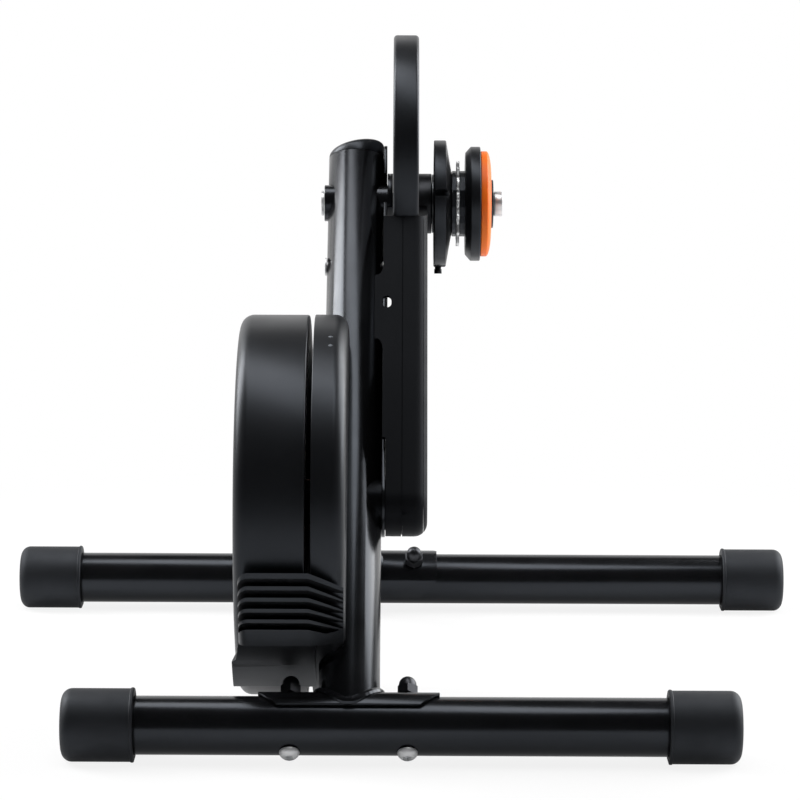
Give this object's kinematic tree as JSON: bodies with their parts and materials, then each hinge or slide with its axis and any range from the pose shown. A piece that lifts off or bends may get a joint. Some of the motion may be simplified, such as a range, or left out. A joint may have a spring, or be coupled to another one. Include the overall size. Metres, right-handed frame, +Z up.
{
  "type": "direct drive bike trainer",
  "caption": "Indoor trainer on two cross legs: a leaning tube carries a braked flywheel and, by a covered belt, a hub and cog that take the place of a bicycle's rear wheel",
  "frame": {"origin": "on the floor, midway between the two legs and on their middle", "axes": "+X to the drive side where the cog is, +Y forward to the wider leg, +Z up"},
  "size_m": [0.589, 0.4986, 0.4501],
  "materials": {
    "satin_black_paint": "satin black powder coat on steel",
    "cast_wheel_paint": "satin black paint on cast iron",
    "black_rubber": "matte black rubber",
    "black_plastic": "fine textured black moulded plastic",
    "orange_plastic": "satin orange moulded plastic",
    "bright_steel": "bright zinc plated steel",
    "black_oxide_steel": "black oxide on turned steel",
    "ground_steel": "ground bare steel",
    "copper_winding": "enamelled copper wire on steel poles",
    "circuit_board_green": "green solder mask",
    "clear_light_pipe": "clear moulded light pipe, unlit"
  },
  "bodies": {
    "frame": {"rear_leg": "satin_black_paint", "front_leg": "satin_black_paint", "rear_foot_left": "black_rubber", "rear_foot_right": "black_rubber", "front_foot_left": "black_rubber", "front_foot_right": "black_rubber", "rear_saddle": "satin_black_paint", "front_saddle": "satin_black_paint", "main_tube": "satin_black_paint", "strut_tube": "satin_black_paint", "tube_end_cap": "black_plastic", "side_plate": "satin_black_paint", "cross_bolt": "black_oxide_steel", "rear_bolt_left": "bright_steel", "rear_bolt_right": "bright_steel", "front_bolt_left": "bright_steel", "front_bolt_right": "bright_steel", "rear_nut_left": "black_oxide_steel", "rear_nut_right": "black_oxide_steel", "front_nut_left": "black_oxide_steel", "front_nut_right": "black_oxide_steel", "axle_sleeve": "satin_black_paint", "hub_axle": "bright_steel", "drive_side_axle_end": "bright_steel", "flywheel_sleeve": "satin_black_paint", "hub_bearing_left": "ground_steel", "hub_bearing_right": "ground_steel", "flywheel_bearing_left": "ground_steel", "flywheel_bearing_right": "ground_steel", "brake_magnet": "copper_winding", "backing_plate": "satin_black_paint", "electronics_cover": "black_plastic", "circuit_board": "circuit_board_green", "status_light": "clear_light_pipe", "power_socket": "black_plastic", "flywheel_guard": "black_plastic", "cooling_fins": "black_plastic", "drive_belt": "black_rubber", "belt_cover_inner": "black_plastic", "belt_cover_outer": "black_plastic", "handle_hood": "black_plastic", "cover_screw_lower": "black_oxide_steel", "cover_screw_upper": "black_oxide_steel"},
    "flywheel_rotor": {"flywheel": "cast_wheel_paint", "flywheel_shaft": "ground_steel", "flywheel_nut": "black_oxide_steel", "flywheel_pulley": "black_oxide_steel", "pulley_nut": "black_oxide_steel"},
    "hub_rotor": {"drive_pulley": "black_oxide_steel", "one_way_clutch": "ground_steel"},
    "freehub": {"freehub_body": "ground_steel", "freehub_bearing_inner": "ground_steel", "freehub_bearing_outer": "ground_steel", "inner_chain_guide": "black_plastic", "inner_cog_spacer": "black_plastic", "cog": "bright_steel", "outer_cog_spacer": "black_plastic", "outer_chain_guide": "black_plastic", "cog_cover": "orange_plastic", "lock_ring": "black_oxide_steel"}
  },
  "joints": [
    {"name": "flywheel_spin", "type": "hinge", "parent": "frame", "child": "flywheel_rotor", "pos_m": [0, -0.10302, 0.14463], "axis": [1, 0, 0], "continuous": true},
    {"name": "hub_spin", "type": "hinge", "parent": "frame", "child": "hub_rotor", "pos_m": [0, 0.08188, 0.32953], "axis": [1, 0, 0], "continuous": true},
    {"name": "freehub_spin", "type": "hinge", "parent": "hub_rotor", "child": "freehub", "pos_m": [0, 0.08188, 0.32953], "axis": [1, 0, 0], "continuous": true}
  ],
  "couplings": [
    {"joint": "hub_spin", "follows": "flywheel_spin", "ratio": 0.20833}
  ]
}
